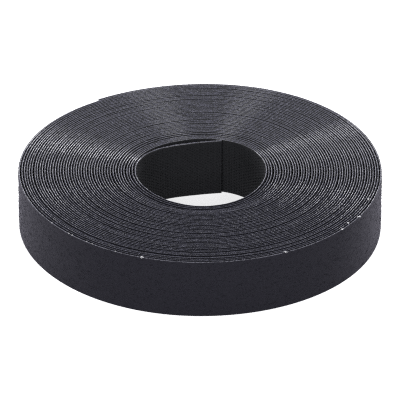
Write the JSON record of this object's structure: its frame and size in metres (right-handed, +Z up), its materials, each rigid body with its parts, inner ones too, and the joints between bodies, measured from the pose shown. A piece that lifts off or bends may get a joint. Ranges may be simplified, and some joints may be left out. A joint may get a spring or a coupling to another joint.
{
  "type": "hook and loop tape roll",
  "caption": "Coreless roll of double-sided hook and loop tape, wound flat on itself, with an outer end that peels off and a slack inner end in the open bore.",
  "frame": {"origin": "on the winding axis, in the plane that the roll lies on", "axes": "+Z up along the winding axis; +X to the right in the picture; +Y away from its viewer"},
  "size_m": [0.1132, 0.1136, 0.019],
  "materials": {
    "hook_film": "satin",
    "loop_cloth": "matte"
  },
  "bodies": {
    "roll": {"wound_hook_ply": "hook_film", "wound_loop_ply": "loop_cloth"},
    "outer_end_1": {"outer_end_1_hook_ply": "hook_film", "outer_end_1_loop_ply": "loop_cloth"},
    "outer_end_2": {"outer_end_2_hook_ply": "hook_film", "outer_end_2_loop_ply": "loop_cloth"},
    "outer_end_3": {"outer_end_3_hook_ply": "hook_film", "outer_end_3_loop_ply": "loop_cloth"},
    "outer_end_4": {"outer_end_4_hook_ply": "hook_film", "outer_end_4_loop_ply": "loop_cloth"},
    "outer_end_5": {"outer_end_5_hook_ply": "hook_film", "outer_end_5_loop_ply": "loop_cloth"},
    "outer_end_6": {"outer_end_6_hook_ply": "hook_film", "outer_end_6_loop_ply": "loop_cloth"},
    "outer_end_7": {"outer_end_7_hook_ply": "hook_film", "outer_end_7_loop_ply": "loop_cloth"},
    "outer_end_8": {"outer_end_8_hook_ply": "hook_film", "outer_end_8_loop_ply": "loop_cloth"},
    "outer_end_9": {"outer_end_9_hook_ply": "hook_film", "outer_end_9_loop_ply": "loop_cloth"},
    "outer_end_10": {"outer_end_10_hook_ply": "hook_film", "outer_end_10_loop_ply": "loop_cloth"},
    "outer_end_11": {"outer_end_11_hook_ply": "hook_film", "outer_end_11_loop_ply": "loop_cloth"},
    "outer_end_12": {"outer_end_12_hook_ply": "hook_film", "outer_end_12_loop_ply": "loop_cloth"},
    "inner_end_1": {"inner_end_1_hook_ply": "hook_film", "inner_end_1_loop_ply": "loop_cloth"},
    "inner_end_2": {"inner_end_2_hook_ply": "hook_film", "inner_end_2_loop_ply": "loop_cloth"},
    "inner_end_3": {"inner_end_3_hook_ply": "hook_film", "inner_end_3_loop_ply": "loop_cloth"},
    "inner_end_4": {"inner_end_4_hook_ply": "hook_film", "inner_end_4_loop_ply": "loop_cloth"},
    "inner_end_5": {"inner_end_5_hook_ply": "hook_film", "inner_end_5_loop_ply": "loop_cloth"}
  },
  "joints": [
    {"name": "outer_peel_1", "type": "hinge", "parent": "roll", "child": "outer_end_1", "pos_m": [0.05435, 0.01662, 0], "axis": [0, 0, -1], "range_deg": [0, 15]},
    {"name": "outer_peel_2", "type": "hinge", "parent": "outer_end_1", "child": "outer_end_2", "pos_m": [0.0511, 0.02492, 0], "axis": [0, 0, -1], "range_deg": [0, 15]},
    {"name": "outer_peel_3", "type": "hinge", "parent": "outer_end_2", "child": "outer_end_3", "pos_m": [0.04659, 0.03262, 0], "axis": [0, 0, -1], "range_deg": [0, 15]},
    {"name": "outer_peel_4", "type": "hinge", "parent": "outer_end_3", "child": "outer_end_4", "pos_m": [0.04092, 0.03952, 0], "axis": [0, 0, -1], "range_deg": [0, 15]},
    {"name": "outer_peel_5", "type": "hinge", "parent": "outer_end_4", "child": "outer_end_5", "pos_m": [0.03425, 0.04545, 0], "axis": [0, 0, -1], "range_deg": [0, 15]},
    {"name": "outer_peel_6", "type": "hinge", "parent": "outer_end_5", "child": "outer_end_6", "pos_m": [0.02673, 0.05027, 0], "axis": [0, 0, -1], "range_deg": [0, 15]},
    {"name": "outer_peel_7", "type": "hinge", "parent": "outer_end_6", "child": "outer_end_7", "pos_m": [0.01854, 0.05385, 0], "axis": [0, 0, -1], "range_deg": [0, 15]},
    {"name": "outer_peel_8", "type": "hinge", "parent": "outer_end_7", "child": "outer_end_8", "pos_m": [0.00989, 0.0561, 0], "axis": [0, 0, -1], "range_deg": [0, 15]},
    {"name": "outer_peel_9", "type": "hinge", "parent": "outer_end_8", "child": "outer_end_9", "pos_m": [0.001, 0.05698, 0], "axis": [0, 0, -1], "range_deg": [0, 15]},
    {"name": "outer_peel_10", "type": "hinge", "parent": "outer_end_9", "child": "outer_end_10", "pos_m": [-0.00793, 0.05645, 0], "axis": [0, 0, -1], "range_deg": [0, 15]},
    {"name": "outer_peel_11", "type": "hinge", "parent": "outer_end_10", "child": "outer_end_11", "pos_m": [-0.01667, 0.05454, 0], "axis": [0, 0, -1], "range_deg": [0, 15]},
    {"name": "outer_peel_12", "type": "hinge", "parent": "outer_end_11", "child": "outer_end_12", "pos_m": [-0.02501, 0.05128, 0], "axis": [0, 0, -1], "range_deg": [0, 15]},
    {"name": "inner_swing_1", "type": "hinge", "parent": "roll", "child": "inner_end_1", "pos_m": [-0.01957, 0.00674, 0], "axis": [0, 0, -1], "range_deg": [0, 15]},
    {"name": "inner_swing_2", "type": "hinge", "parent": "inner_end_1", "child": "inner_end_2", "pos_m": [-0.01607, 0.01211, 0], "axis": [0, 0, -1], "range_deg": [0, 15]},
    {"name": "inner_swing_3", "type": "hinge", "parent": "inner_end_2", "child": "inner_end_3", "pos_m": [-0.0109, 0.01556, 0], "axis": [0, 0, -1], "range_deg": [0, 15]},
    {"name": "inner_swing_4", "type": "hinge", "parent": "inner_end_3", "child": "inner_end_4", "pos_m": [-0.00531, 0.01736, 0], "axis": [0, 0, -1], "range_deg": [0, 15]},
    {"name": "inner_swing_5", "type": "hinge", "parent": "inner_end_4", "child": "inner_end_5", "pos_m": [0.00032, 0.01838, 0], "axis": [0, 0, -1], "range_deg": [0, 15]}
  ],
  "couplings": [
    {"joint": "outer_peel_2", "follows": "outer_peel_1", "ratio": 1},
    {"joint": "outer_peel_3", "follows": "outer_peel_1", "ratio": 1},
    {"joint": "outer_peel_4", "follows": "outer_peel_1", "ratio": 1},
    {"joint": "outer_peel_5", "follows": "outer_peel_1", "ratio": 1},
    {"joint": "outer_peel_6", "follows": "outer_peel_1", "ratio": 1},
    {"joint": "outer_peel_7", "follows": "outer_peel_1", "ratio": 1},
    {"joint": "outer_peel_8", "follows": "outer_peel_1", "ratio": 1},
    {"joint": "outer_peel_9", "follows": "outer_peel_1", "ratio": 1},
    {"joint": "outer_peel_10", "follows": "outer_peel_1", "ratio": 1},
    {"joint": "outer_peel_11", "follows": "outer_peel_1", "ratio": 1},
    {"joint": "outer_peel_12", "follows": "outer_peel_1", "ratio": 1},
    {"joint": "inner_swing_2", "follows": "inner_swing_1", "ratio": 1},
    {"joint": "inner_swing_3", "follows": "inner_swing_1", "ratio": 1},
    {"joint": "inner_swing_4", "follows": "inner_swing_1", "ratio": 1},
    {"joint": "inner_swing_5", "follows": "inner_swing_1", "ratio": 1}
  ]
}
